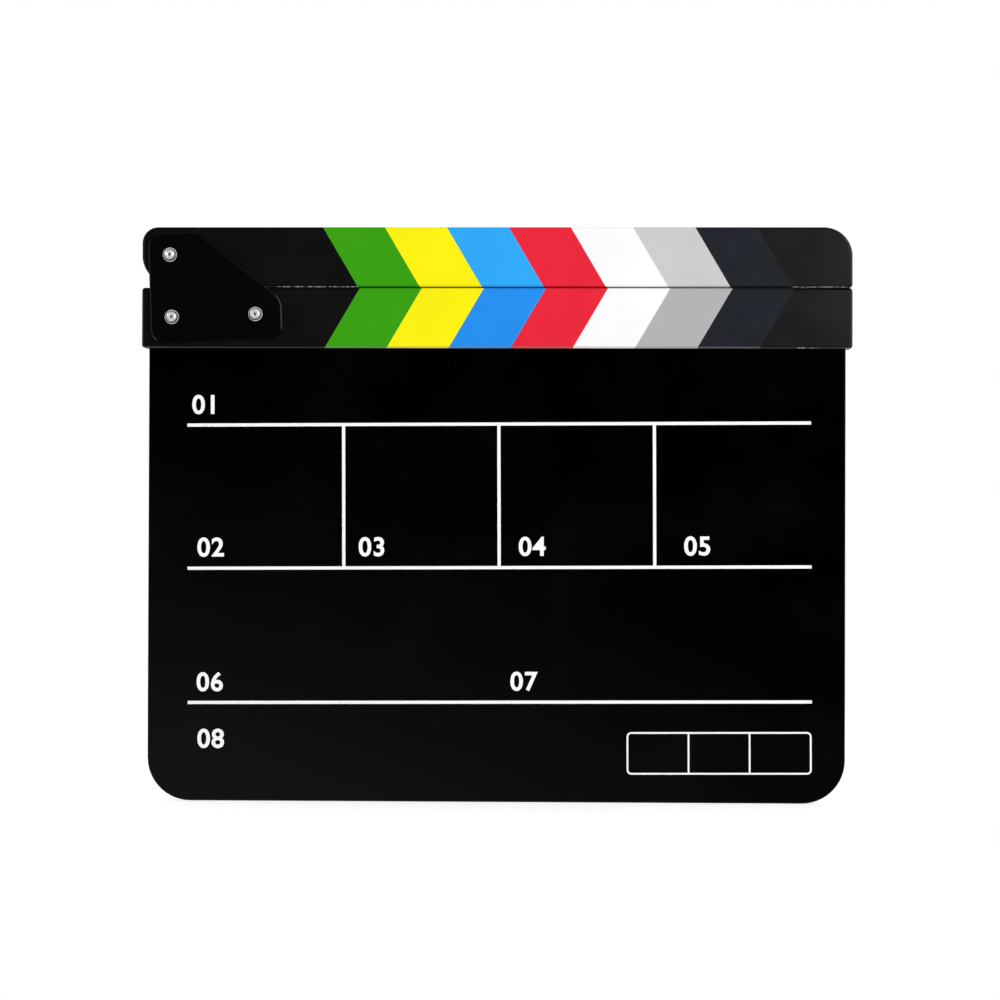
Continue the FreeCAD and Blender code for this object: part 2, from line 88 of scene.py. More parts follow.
class Finish:
    """A procedural material, with short calls that add its nodes and join them. Sizes are in millimetres."""

    def __init__(self, name, **inputs):
        self.material = bpy.data.materials.new(name)
        self.material.use_nodes = True
        self.tree = self.material.node_tree
        self.surface = self.tree.nodes["Principled BSDF"]
        self.place = self.add("ShaderNodeTexCoord").outputs["Object"]
        self.set(self.surface, **inputs)

    def add(self, kind, settings=None, **inputs):
        """A new node with its settings and inputs."""
        node = self.tree.nodes.new(kind)
        for name, value in (settings or {}).items():
            setattr(node, name, value)
        self.set(node, **inputs)
        return node

    def set(self, node, **inputs):
        """Give inputs of a node a value or a link. Of inputs with the same name, the first is meant."""
        sockets = {socket.name.lower().replace(" ", "_"): socket for socket in reversed(node.inputs)}
        for name, value in inputs.items():
            self.feed(sockets[name], value)

    def feed(self, socket, value):
        """Link an input to an output, or give it a plain value."""
        if isinstance(value, bpy.types.NodeSocket):
            self.tree.links.new(value, socket)
        else:
            socket.default_value = value

    def axes(self):
        """Object place along X, Y and Z."""
        return self.add("ShaderNodeSeparateXYZ", vector=self.place).outputs

    def stretched(self, scale, turn):
        """Object place, turned by degrees about the Y axis and then scaled along each axis."""
        settings = {"vector_type": "TEXTURE"}
        rotation = (0.0, math.radians(turn), 0.0)
        turned = self.add("ShaderNodeMapping", settings, vector=self.place, rotation=rotation)
        return self.add("ShaderNodeMapping", vector=turned.outputs["Vector"], scale=scale).outputs["Vector"]

    def noise(self, size, detail=SOFT, place=None):
        """Cloudy values around 0.5, with blotches of about a size."""
        scale = 1 / (size * MM)
        node = self.add("ShaderNodeTexNoise", vector=place or self.place, scale=scale, detail=detail)
        return node.outputs["Fac"]

    def span(self, value, within, out=RISING):
        """A value that lies within a range, carried smoothly over to another range."""
        settings = {"interpolation_type": "SMOOTHSTEP"}
        node = self.add("ShaderNodeMapRange", settings, value=value, from_min=within[0], from_max=within[1],
                        to_min=out[0], to_max=out[1])
        return node.outputs["Result"]

    def between(self, value, start, end):
        """Share that rises over the start range, stays at 1 and falls over the end range."""
        return self.math("MULTIPLY", self.span(value, start), self.span(value, end, FALLING))

    def math(self, operation, first, second=0.0):
        """The outcome of an operation on one or two values."""
        node = self.add("ShaderNodeMath", {"operation": operation})
        for socket, value in zip(node.inputs, (first, second)):
            self.feed(socket, value)
        return node.outputs["Value"]

    def mix(self, share, first, second):
        """Colour that goes from first to second as share goes from 0 to 1."""
        return self.add("ShaderNodeMixRGB", fac=share, color1=first, color2=second).outputs["Color"]

    def specks(self, cell, radius, kept):
        """Small round dots, one in some cells: kept is the share of cells that has one."""
        cells = self.add("ShaderNodeTexVoronoi", vector=self.place, scale=1 / (cell * MM))
        chance = self.add("ShaderNodeSeparateColor", color=cells.outputs["Color"]).outputs["Red"]
        reach = radius / cell
        dots = self.span(cells.outputs["Distance"], (SPECK_CORE_SHARE * reach, reach), FALLING)
        return self.math("MULTIPLY", dots, self.math("LESS_THAN", chance, kept))

    def bump(self, height, depth, strength):
        """Fine relief of the surface, a height between 0 and 1 times a depth."""
        node = self.add("ShaderNodeBump", height=height, distance=depth * MM, strength=strength)
        self.set(self.surface, normal=node.outputs["Normal"])


# Acrylic sheet: levels of the board and of the hinge plates, sizes in millimetres, turns in degrees
ACRYLIC_IOR = 1.49
BOARD_LEVELS = (0.0001, 0.001)
PLATE_LEVELS = (0.0018, 0.0032)
SMUDGE_SIZE = 45.0
SMUDGE_SEEN = (0.45, 0.75)
SMUDGE_DULLED = (0.35, 0.7)
ACRYLIC_ROUGHNESS = (0.05, 0.12)
WIPE_WIDTH = 3.0
WIPE_STRETCH = (0.06, 1.0, 1.0)
WIPE_TURN = 24.0
HAIRLINE_WIDTH = 0.5
HAIRLINE_STRETCH = (0.012, 1.0, 1.0)
HAIRLINE_TURN = -37.0
HAIRLINE_SEEN = (0.66, 0.74)
HAIRLINE_SINK = (0.0, -1.0)
DUST_CELL = 6.0
DUST_RADIUS = 0.2
DUST_SHARE = 0.12
DUST_LEVEL = 0.06
DUST_ROUGHNESS = 0.4
ACRYLIC_RELIEF = 0.004
ACRYLIC_BUMP = 0.6


def make_acrylic(name, levels):
    """Polished black sheet with wiping marks, hairlines and a little dust."""
    finish = Finish(name, ior=ACRYLIC_IOR)
    deep, hazy = levels
    smudge = finish.noise(SMUDGE_SIZE, FINE)
    wiped = finish.noise(WIPE_WIDTH, CLOUDY, finish.stretched(WIPE_STRETCH, WIPE_TURN))
    hairline = finish.noise(HAIRLINE_WIDTH, PLAIN, finish.stretched(HAIRLINE_STRETCH, HAIRLINE_TURN))
    dust = finish.specks(DUST_CELL, DUST_RADIUS, DUST_SHARE)
    haze = finish.math("MULTIPLY", finish.span(smudge, SMUDGE_SEEN), wiped)
    body = finish.mix(haze, grey(deep), grey(hazy))
    finish.set(finish.surface, base_color=finish.mix(dust, body, grey(DUST_LEVEL)))
    gloss = finish.span(smudge, SMUDGE_DULLED, ACRYLIC_ROUGHNESS)
    dusty = finish.math("MULTIPLY", dust, DUST_ROUGHNESS)
    finish.set(finish.surface, roughness=finish.math("ADD", gloss, dusty))
    relief = finish.math("ADD", finish.span(hairline, HAIRLINE_SEEN, HAIRLINE_SINK), dust)
    finish.bump(relief, ACRYLIC_RELIEF, ACRYLIC_BUMP)
    return finish.material


def beside_seam(finish, height, reach, most):
    """Share that is most on the meeting faces of the sticks and runs out within a reach above and below."""
    lower_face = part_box("lower_stick")[1].z
    upper_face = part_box("upper_stick")[0].z
    half_gap = (upper_face - lower_face) / 2
    away = finish.math("ABSOLUTE", finish.math("SUBTRACT", height, (upper_face + lower_face) / 2))
    return finish.span(away, (half_gap, half_gap + reach * MM), (most, 0.0))


# Clap sticks, in millimetres: the band of a bevel that holds scuffs and a painted highlight line is given
# above the edge, the knock along the stick
PLASTIC_IOR = 1.5
STICK_LEVELS = (0.0007, 0.0018)
STICK_GRAIN = 0.35
STICK_CLOUD = 30.0
STICK_ROUGHNESS = (0.24, 0.28)
STICK_RELIEF = 0.006
STICK_BUMP = 0.5
SAWN_REACH = 0.1
SAWN_ROUGHNESS = 0.5
BEVEL_LINE_START = (0.0, 0.12)
BEVEL_LINE_END = (0.3, 0.5)
STREAK_SIZE = 1.1
STREAK_SEEN = (0.4, 0.62)
STREAK_SHARES = (0.12, 1.0)
CLAP_SIZE = 4.0
CLAP_SEEN = (0.32, 0.45)
SEAM_HIGHLIGHT_SHARE = 0.06
KNOCK_START = (126.0, 128.0)
KNOCK_END = (133.0, 137.0)
LOWER_EDGE_HIGHLIGHT_SHARE = 0.12
SCUFF_AND_HIGHLIGHT_LEVEL = 0.6
SCUFF_ROUGHNESS = 0.3


def bevel_scuffs_and_highlight(finish, height, edge, patches, least):
    """Share of pale marks on the bevel above an edge: a faint even line, which is a painted highlight, and
    scuffs streaked pale in patches.
    """
    above = finish.math("SUBTRACT", height, edge)
    on_bevel = finish.between(above, metres(BEVEL_LINE_START), metres(BEVEL_LINE_END))
    streaks = finish.span(finish.noise(STREAK_SIZE), STREAK_SEEN, STREAK_SHARES)
    # Painted highlight: the least share gives a faint even pale line along the whole bevel; the streaks are
    # scuffs.
    wear_and_highlight = finish.math("MAXIMUM", finish.math("MULTIPLY", patches, streaks), least)
    return finish.math("MULTIPLY", on_bevel, wear_and_highlight)


def make_stick_plastic():
    """Satin black plastic with a fine grain, with pale scuffs and a painted highlight line on the bevels
    where the sticks clap and along the lower edge.
    """
    finish = Finish("stick_plastic", ior=PLASTIC_IOR)
    deep, hazy = STICK_LEVELS
    cloud = finish.noise(STICK_CLOUD, CLOUDY)
    axes = finish.axes()
    clapped = finish.span(finish.noise(CLAP_SIZE, CLOUDY), CLAP_SEEN)
    knocked = finish.between(axes["X"], metres(KNOCK_START), metres(KNOCK_END))
    # Pale scuffs and a painted highlight line on the bevels at the seam and at the lower edge.
    seam_wear_and_highlight = bevel_scuffs_and_highlight(finish, axes["Z"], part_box("upper_stick")[0].z, clapped, SEAM_HIGHLIGHT_SHARE)
    edge_wear_and_highlight = bevel_scuffs_and_highlight(finish, axes["Z"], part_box("lower_stick")[0].z, knocked, LOWER_EDGE_HIGHLIGHT_SHARE)
    scuff_and_highlight = finish.math("MAXIMUM", seam_wear_and_highlight, edge_wear_and_highlight)
    body = finish.mix(cloud, grey(deep), grey(hazy))
    finish.set(finish.surface, base_color=finish.mix(scuff_and_highlight, body, grey(SCUFF_AND_HIGHLIGHT_LEVEL)))
    gloss = finish.span(cloud, NOISE_SPREAD, STICK_ROUGHNESS)
    sawn = finish.math("ADD", gloss, beside_seam(finish, axes["Z"], SAWN_REACH, SAWN_ROUGHNESS))
    scuffed = finish.math("MULTIPLY", scuff_and_highlight, SCUFF_ROUGHNESS)
    finish.set(finish.surface, roughness=finish.math("ADD", sawn, scuffed))
    finish.bump(finish.noise(STICK_GRAIN, CLOUDY), STICK_RELIEF, STICK_BUMP)
    return finish.material


# Colour films, in millimetres: the band of painted highlight on the hem is given above the stick's lower
# edge
VINYL_COLOURS = {
    "film_green": (0.041, 0.355, 0.003),
    "film_yellow": (0.98, 0.885, 0.0006),
    "film_blue_upper": (0.026, 0.394, 0.938),
    "film_blue_lower": (0.015, 0.272, 0.853),
    "film_red": (0.836, 0.018, 0.043),
    "film_white": (0.96, 0.96, 0.96),
    "film_grey_upper": (0.595, 0.595, 0.595),
    "film_grey_lower": (0.445, 0.445, 0.463),
    "film_black": (0.014, 0.0165, 0.0225),
}
VINYL_SPECULAR = 0.3
VINYL_DEEP_SHARE = 0.95
VINYL_CLOUD = 25.0
VINYL_GLOSS_PATCH = 6.0
VINYL_ROUGHNESS = (0.19, 0.24)
VINYL_RIPPLE = 2.2
VINYL_RELIEF = 0.012
VINYL_BUMP = 0.5
HEM_HIGHLIGHT_BAND = (0.6, 0.8)
HEM_HIGHLIGHT_SHARE = 0.12
HEM_HIGHLIGHT_LEVEL = 0.9
SEAM_SHADE_REACH = 0.25
SEAM_SHADE_SHARE = 0.9
SEAM_SHADE_LEVEL = 0.006


def make_vinyl(slot, colour):
    """Self-adhesive film, rippled by its glue, with painted shade along the seam and a painted highlight on
    its lower fold.
    """
    finish = Finish(slot, ior=PLASTIC_IOR, specular_ior_level=VINYL_SPECULAR)
    deep = (*(VINYL_DEEP_SHARE * channel for channel in colour), 1.0)
    cloud = finish.span(finish.noise(VINYL_CLOUD, CLOUDY), NOISE_SPREAD)
    height = finish.axes()["Z"]
    # Painted highlight: the hem on the downward bevel is lightened towards white, below the fold.
    low, high = metres(HEM_HIGHLIGHT_BAND)
    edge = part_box("lower_stick")[0].z
    hem_highlight = finish.span(height, (edge + low, edge + high), (HEM_HIGHLIGHT_SHARE, 0.0))
    film = finish.mix(hem_highlight, finish.mix(cloud, deep, (*colour, 1.0)), grey(HEM_HIGHLIGHT_LEVEL))
    # Painted shade: the film is darkened along the seam, where the sticks meet and shade falls.
    painted_shade = beside_seam(finish, height, SEAM_SHADE_REACH, SEAM_SHADE_SHARE)
    finish.set(finish.surface, base_color=finish.mix(painted_shade, film, grey(SEAM_SHADE_LEVEL)))
    gloss = finish.span(finish.noise(VINYL_GLOSS_PATCH), NOISE_SPREAD, VINYL_ROUGHNESS)
    finish.set(finish.surface, roughness=gloss)
    finish.bump(finish.noise(VINYL_RIPPLE), VINYL_RELIEF, VINYL_BUMP)
    return finish.material


# Metals: blotches and heights above the seat of the screw heads in millimetres
METAL_LOOKS = {
    "nickel_steel": {
        "colour": (0.95, 0.93, 0.91),
        "roughness": (0.36, 0.24),
        "blotch": 1.5,
        "metallic": 0.4,
        "shaded_rim": 1.4,
    },
    "zinc_steel": {"colour": (0.62, 0.64, 0.66), "roughness": (0.42, 0.28), "blotch": 2.5},
    "sleeve_brass": {"colour": (0.72, 0.52, 0.22), "roughness": (0.32, 0.2), "blotch": 2.0},
}
METAL_DULL_SHARE = 0.82
METAL_BLOTCH_SEEN = (0.35, 0.65)
METAL_MARKS = 0.12
METAL_RELIEF = 0.006
METAL_BUMP = 0.4
# Painted shade in the corners near the seat of a screw head, where the ambient occlusion is low
CREVICE_SHADE_DISTANCE = 0.7
CREVICE_SHADE_OPENNESS = (0.65, 0.85)
CREVICE_SHADE_HEIGHTS = (0.8, 1.0)
CREVICE_SHADE_LEVEL = 0.03
# Painted shade: a darker band on the steep side of a screw head
RIM_SHADE_START = (0.0, 0.05)
RIM_SHADE_BLUR = 0.15
RIM_SHADE_LEVEL = 0.12


def make_metal(slot, colour, roughness, blotch, metallic=1.0, shaded_rim=0.0):
    """Plated or turned metal with fine marks, a slightly uneven shine and painted shade in its corners.

    The side of a screw head is painted darker, as shade, up to the height of the shaded rim.
    """
    finish = Finish(slot, metallic=metallic)
    cloud = finish.noise(blotch, FINE)
    dull = (*(METAL_DULL_SHARE * channel for channel in colour), 1.0)
    plating = finish.mix(finish.span(cloud, METAL_BLOTCH_SEEN), dull, (*colour, 1.0))
    seat = -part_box("head_washers")[0].y
    depth = finish.axes()["Y"]
    lift = finish.math("SUBTRACT", -seat, depth)
    # Painted shade: the steep side of a screw head is darkened up to the height of the shaded rim.
    rim_shade_end = metres((shaded_rim - RIM_SHADE_BLUR, shaded_rim + RIM_SHADE_BLUR))
    rim = finish.between(lift, metres(RIM_SHADE_START), rim_shade_end)
    rim_shaded = finish.mix(rim, plating, grey(RIM_SHADE_LEVEL))
    # Painted shade: the colour darkens where ambient occlusion is low, near the seat of a screw head.
    openness = finish.add("ShaderNodeAmbientOcclusion", distance=CREVICE_SHADE_DISTANCE * MM).outputs["AO"]
    low, high = metres(CREVICE_SHADE_HEIGHTS)
    low_down = finish.span(finish.math("ABSOLUTE", depth), (seat + low, seat + high), FALLING)
    painted_shade = finish.math("MULTIPLY", low_down, finish.span(openness, CREVICE_SHADE_OPENNESS, FALLING))
    finish.set(finish.surface, base_color=finish.mix(painted_shade, rim_shaded, grey(CREVICE_SHADE_LEVEL)))
    finish.set(finish.surface, roughness=finish.span(cloud, NOISE_SPREAD, roughness))
    finish.bump(finish.noise(METAL_MARKS), METAL_RELIEF, METAL_BUMP)
    return finish.material


# Nylon of the thrust washers and nut inserts, sizes in millimetres
NYLON_DEEP = (0.70, 0.69, 0.63, 1.0)
NYLON_PALE = (0.83, 0.82, 0.77, 1.0)
NYLON_MILKINESS = 0.25
NYLON_GLOW = (1.0, 0.9, 0.8)
NYLON_GLOW_DEPTH = 0.6
NYLON_CLOUD = 1.5
NYLON_ROUGHNESS = (0.4, 0.55)
NYLON_GRAIN = 0.2
NYLON_RELIEF = 0.006
NYLON_BUMP = 0.5


def make_nylon():
    """Milky natural nylon."""
    finish = Finish("nylon", subsurface_weight=NYLON_MILKINESS, subsurface_radius=NYLON_GLOW,
                    subsurface_scale=NYLON_GLOW_DEPTH * MM)
    cloud = finish.noise(NYLON_CLOUD, CLOUDY)
    finish.set(finish.surface, base_color=finish.mix(cloud, NYLON_DEEP, NYLON_PALE))
    finish.set(finish.surface, roughness=finish.span(cloud, NOISE_SPREAD, NYLON_ROUGHNESS))
    finish.bump(finish.noise(NYLON_GRAIN), NYLON_RELIEF, NYLON_BUMP)
    return finish.material


# Printing ink, sizes in millimetres
INK_LEVELS = (0.9, 0.97)
INK_COVER = 1.2
INK_COVER_SEEN = (0.3, 0.6)
INK_ROUGHNESS = (0.5, 0.62)
INK_GRAIN = 0.25
INK_RELIEF = 0.01
INK_BUMP = 0.6


def make_ink():
    """White screen print, a little thin in places."""
    finish = Finish("print_ink", ior=PLASTIC_IOR)
    thin, full = INK_LEVELS
    cover = finish.noise(INK_COVER, FINE)
    white = finish.mix(finish.span(cover, INK_COVER_SEEN), grey(thin), grey(full))
    finish.set(finish.surface, base_color=white)
    finish.set(finish.surface, roughness=finish.span(cover, NOISE_SPREAD, INK_ROUGHNESS))
    finish.bump(finish.noise(INK_GRAIN, CLOUDY), INK_RELIEF, INK_BUMP)
    return finish.material


def make_finishes():
    """The finish of each material slot of the record, and that of the hinge plates."""
    finishes = {slot: make_vinyl(slot, colour) for slot, colour in VINYL_COLOURS.items()}
    finishes["black_acrylic"] = make_acrylic("black_acrylic", BOARD_LEVELS)
    finishes["plate_acrylic"] = make_acrylic("plate_acrylic", PLATE_LEVELS)
    finishes["stick_plastic"] = make_stick_plastic()
    for slot, look in METAL_LOOKS.items():
        finishes[slot] = make_metal(slot, **look)
    finishes["nylon"] = make_nylon()
    return finishes


def dress_nodes(finishes):
    """Give every solid of the frame the finish of its own slot, and the hinge plates a greyer sheet."""
    for name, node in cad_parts.items():
        for slot in node.material_slots:
            own = slot.material.name.split(".")[0]
            slot.material = finishes["plate_acrylic" if name.startswith("hinge_plate") else own]


def mesh_from(name, mesh_maker):
    """A mesh filled by bmesh code, with its faces turned outwards."""
    mesh = bpy.data.meshes.new(name)
    shape = bmesh.new()
    mesh_maker(shape)
    bmesh.ops.recalc_face_normals(shape, faces=shape.faces)
    shape.to_mesh(mesh)
    shape.free()
    return mesh


def add_piece(name, mesh_maker, material, body):
    """A mesh piece filled by bmesh code, riding on a body of the frame."""
    mesh = mesh_from(name, mesh_maker)
    mesh.materials.append(material)
    piece = bpy.data.objects.new(name, mesh)
    bpy.context.scene.collection.objects.link(piece)
    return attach(piece, body)


def add_strip(shape, first, second):
    """Faces between two closed rings of as many vertices."""
    for index in range(len(first)):
        after = (index + 1) % len(first)
        shape.faces.new((first[index], first[after], second[after], second[index]))


def add_rings(shape, rings):
    """A closed skin over rings of points that follow one another along an axis."""
    loops = [[shape.verts.new(point) for point in ring] for ring in rings]
    for first, second in zip(loops, loops[1:]):
        add_strip(shape, first, second)
    shape.faces.new(loops[0])
    shape.faces.new(loops[-1])


def make_hem(node, pitch):
    """The lower end of a film on the lower stick, folded over the 45 degree bevel at the lower edge."""
    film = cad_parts[node].material_slots[0].material
    low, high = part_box(node)
    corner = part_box("lower_stick")[0]
    bevel = low.z - corner.z
    thickness = corner.y - low.y
    lean = (high.x - low.x - pitch) / (high.z - low.z)
    section = [
        (corner.y, low.z),
        (corner.y + bevel, corner.z),
        (corner.y + bevel - thickness * math.sqrt(2), corner.z),
        (low.y, low.z - thickness * (math.sqrt(2) - 1)),
        (low.y, low.z),
    ]

    def fold(shape):
        ends = (low.x, low.x + pitch)
        add_rings(shape, [[(end + (z - low.z) * lean, y, z) for y, z in section] for end in ends])

    hem = add_piece(f"{node}_hem", fold, film, "slate")


def make_hems():
    """The hems of all films on the lower stick, which follow one another by one pitch."""
    bars = [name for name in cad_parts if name.startswith("lower_bar_")]
    bars.sort(key=lambda name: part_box(name)[0].x)
    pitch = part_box(bars[1])[0].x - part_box(bars[0])[0].x
    for bar in bars:
        make_hem(bar, pitch)


# Printed marks, in millimetres on the front of the board, with the turn in degrees
INK_THICKNESS = 0.04
PRINT_TURN = 0.31
RULE_WIDTH = 1.36
RULE_LEFT = -130.7
RULE_RIGHT = 133.2
RULE_HEIGHTS = (159.7, 99.0, 42.15)
COLUMN_PLACES = (-64.3, 1.5, 67.2)
NUMBER_HEIGHT = 8.25
NUMBER_WEIGHT = 0.022
NUMBER_SPACING = 1.08
NUMBER_EXTRUDE = 0.5
NUMBER_MERGE = 0.001
NUMBER_PLACES = (
    (-128.6, 164.3),
    (-126.5, 103.8),
    (-58.0, 103.8),
    (9.8, 103.8),
    (79.6, 103.8),
    (-126.9, 46.8),
    (6.1, 46.8),
    (-126.6, 22.8),
)
CELL_LEFT = 55.1
CELL_RIGHT = 133.0
CELL_LOW = 11.55
CELL_HIGH = 29.5
CELL_COUNT = 3
CELL_RULE_WIDTH = 0.75
CELL_CORNER_RADIUS = 2.0
CELL_CORNER_STEPS = 6


def add_slab(shape, left, right, low, high):
    """A thin patch of ink on the front of the board, given in millimetres."""
    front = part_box("slate_board")[0].y
    size = ((right - left) * MM, INK_THICKNESS * MM, (high - low) * MM)
    middle = ((left + right) / 2 * MM, front - INK_THICKNESS / 2 * MM, (low + high) / 2 * MM)
    bmesh.ops.create_cube(shape, size=1.0, matrix=Matrix.LocRotScale(Vector(middle), None, Vector(size)))


def draw_rules(shape):
    """Three long rules, and three short columns between the upper two."""
    half = RULE_WIDTH / 2
    for height in RULE_HEIGHTS:
        add_slab(shape, RULE_LEFT, RULE_RIGHT, height - half, height + half)
    for place in COLUMN_PLACES:
        add_slab(shape, place - half, place + half, RULE_HEIGHTS[1] + half, RULE_HEIGHTS[0] - half)


def rounded_outline(left, right, low, high, radius):
    """Points round a rectangle with rounded corners, anticlockwise from its lower left corner."""
    points = []
    corners = (
        (left + radius, low + radius),
        (right - radius, low + radius),
        (right - radius, high - radius),
        (left + radius, high - radius),
    )
    for quarter, (x, z) in enumerate(corners, start=2):
        for step in range(CELL_CORNER_STEPS + 1):
            turn = FULL_TURN / 4 * (quarter + step / CELL_CORNER_STEPS)
            points.append((x + radius * math.cos(turn), z + radius * math.sin(turn)))
    return points


def add_frame(shape, left, right, low, high, width, radius):
    """A closed ruled line of ink round a rectangle, given in millimetres."""
    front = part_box("slate_board")[0].y
    outer = rounded_outline(left, right, low, high, radius)
    inner = rounded_outline(left + width, right - width, low + width, high - width, radius - width)
    rings = []
    for outline, lift in ((outer, 0.0), (outer, INK_THICKNESS), (inner, INK_THICKNESS), (inner, 0.0)):
        rings.append([shape.verts.new((x * MM, front - lift * MM, z * MM)) for x, z in outline])
    for first, second in zip(rings, rings[1:] + rings[:1]):
        add_strip(shape, first, second)


def draw_cells(shape):
    """A plain ruled box, divided into equal cells."""
    width = CELL_RULE_WIDTH
    add_frame(shape, CELL_LEFT, CELL_RIGHT, CELL_LOW, CELL_HIGH, width, CELL_CORNER_RADIUS)
    step = (CELL_RIGHT - CELL_LEFT - width) / CELL_COUNT
    for index in range(1, CELL_COUNT):
        left = CELL_LEFT + index * step
        add_slab(shape, left, left + width, CELL_LOW + width, CELL_HIGH - width)


def number_mesh(number):
    """A two-figure number in a bold face, in the size that the font has and a coarse thickness."""
    letters = bpy.data.curves.new("number", "FONT")
    letters.body = f"{number:02d}"
    letters.offset = NUMBER_WEIGHT
    letters.space_character = NUMBER_SPACING
    letters.extrude = NUMBER_EXTRUDE
    writer = bpy.data.objects.new("number", letters)
    mesh = bpy.data.meshes.new_from_object(writer)
    bpy.data.objects.remove(writer)
    bpy.data.curves.remove(letters)
    return mesh


def draw_numbers(shape):
    """Plain numbers, one in each field of the board."""
    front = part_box("slate_board")[0].y
    for number, (left, base) in enumerate(NUMBER_PLACES, start=1):
        mesh = number_mesh(number)
        lowest = Vector([min(vertex.co[axis] for vertex in mesh.vertices) for axis in range(3)])
        highest = Vector([max(vertex.co[axis] for vertex in mesh.vertices) for axis in range(3)])
        scale = NUMBER_HEIGHT * MM / (highest.y - lowest.y)
        thickness = INK_THICKNESS * MM / (highest.z - lowest.z)
        mesh.transform(Matrix.Translation(-lowest))
        mesh.transform(Matrix.Diagonal((scale, scale, thickness, 1.0)))
        mesh.transform(Matrix.Rotation(FULL_TURN / 4, 4, "X"))
        mesh.transform(Matrix.Translation((left * MM, front, base * MM)))
        shape.from_mesh(mesh)
        bpy.data.meshes.remove(mesh)
    bmesh.ops.remove_doubles(shape, verts=shape.verts, dist=NUMBER_MERGE * MM)


def print_marks(name, draw, ink):
    """A piece of the print, which sits a little askew on the board."""
    askew = Matrix.Rotation(math.radians(-PRINT_TURN), 3, "Y")
    middle = (0.0, 0.0, RULE_HEIGHTS[1] * MM)

    def turned(shape):
        draw(shape)
        bmesh.ops.rotate(shape, verts=shape.verts, cent=middle, matrix=askew)

    add_piece(name, turned, ink, "slate")


def make_prints():
    """All marks that are printed on the front of the board."""
    ink = make_ink()
    print_marks("printed_rules", draw_rules, ink)
    print_marks("printed_cells", draw_cells, ink)
    print_marks("printed_numbers", draw_numbers, ink)


# Machine screws, in millimetres, with the turns of their recesses in degrees
HEAD_SEGMENTS = 64
HEAD_RIM = 0.8
HEAD_CROWN_SHARE = 0.45
HEAD_ARC_STEPS = 8
RECESS_SPAN = 2.4
RECESS_ARM = 0.75
RECESS_DEPTH = 1.15
RECESS_FLOOR_SHARE = 0.22
PIVOT_RECESS_TURN = 17.0
HEEL_RECESS_TURN = 38.0
TOE_RECESS_TURN = 62.0
SHANK_RADIUS = 1.25
THREAD_PITCH = 0.45
THREAD_DEPTH = 0.27
THREAD_LENGTH = 6.0
THREAD_SEGMENTS = 32
THREAD_STEPS_PER_TURN = 8
TIP_CHAMFER = 0.4


def ring_about_y(y, radius, segments):
    """Points on a circle about the Y axis."""
    turns = [FULL_TURN * index / segments for index in range(segments)]
    return [(radius * math.cos(turn), y, radius * math.sin(turn)) for turn in turns]


def head_profile(radius, height):
    """Radius and rise of a pan head, from its seat up over the rim to the flat crown."""
    crown = HEAD_CROWN_SHARE * radius
    rim = HEAD_RIM * MM
    profile = [(radius, 0.0)]
    for step in range(HEAD_ARC_STEPS + 1):
        turn = FULL_TURN / 4 * step / HEAD_ARC_STEPS
        profile.append((crown + (radius - crown) * math.cos(turn), rim + (height - rim) * math.sin(turn)))
    return profile


def cross_outline(span, arm):
    """Twelve corners of a cross, going round: three on each arm."""
    end, side = span / 2, arm / 2
    corners = []
    for out_x, out_z in ((1, 0), (0, 1), (-1, 0), (0, -1)):
        left_x, left_z = -out_z, out_x
        for out, left in ((end, -side), (end, side), (side, side)):
            corners.append((out * out_x + left * left_x, out * out_z + left * left_z))
    return corners


def screw_head_mesh(radius, height):
    """A domed head standing on the XZ plane towards -Y, with a tapered cross recess."""
    def solid(shape):
        rings = [ring_about_y(-rise, reach, HEAD_SEGMENTS) for reach, rise in head_profile(radius, height)]
        add_rings(shape, rings)

    def cutter(shape):
        depth = RECESS_DEPTH * MM
        rings = []
        for level in (-1, 0, 1):
            share = 1 + level * (1 - RECESS_FLOOR_SHARE)
            outline = cross_outline(RECESS_SPAN * MM * share, RECESS_ARM * MM * share)
            rings.append([(x, -height - level * depth, z) for x, z in outline])
        add_rings(shape, rings)

    head = bpy.data.objects.new("head", mesh_from("head", solid))
    tool = bpy.data.objects.new("recess", mesh_from("recess", cutter))
    for scrap in (head, tool):
        bpy.context.scene.collection.objects.link(scrap)
    cut = head.modifiers.new("recess", "BOOLEAN")
    cut.operation = "DIFFERENCE"
    cut.solver = "EXACT"
    cut.object = tool
    graph = bpy.context.evaluated_depsgraph_get()
    mesh = bpy.data.meshes.new_from_object(head.evaluated_get(graph))
    for scrap in (head, tool):
        bpy.data.objects.remove(scrap)
    return mesh


def shank_rings(start, end):
    """Rings of a shank along Y, plain at first and then with a helical thread down to the tip."""
    thread_start = end - THREAD_LENGTH * MM
    step = THREAD_PITCH * MM / THREAD_STEPS_PER_TURN
    rings = [ring_about_y(y, SHANK_RADIUS * MM, THREAD_SEGMENTS) for y in (start, thread_start - step)]
    for index in range(round(THREAD_LENGTH * MM / step) + 1):
        y = thread_start + index * step
        limit = (SHANK_RADIUS - TIP_CHAMFER) * MM + (end - y)
        ring = []
        for segment in range(THREAD_SEGMENTS):
            share = segment / THREAD_SEGMENTS
            ridge = abs(2 * ((y / (THREAD_PITCH * MM) - share) % 1.0) - 1)
            radius = min((SHANK_RADIUS - THREAD_DEPTH * (1 - ridge)) * MM, limit)
            ring.append((radius * math.cos(FULL_TURN * share), y, radius * math.sin(FULL_TURN * share)))
        rings.append(ring)
    return rings


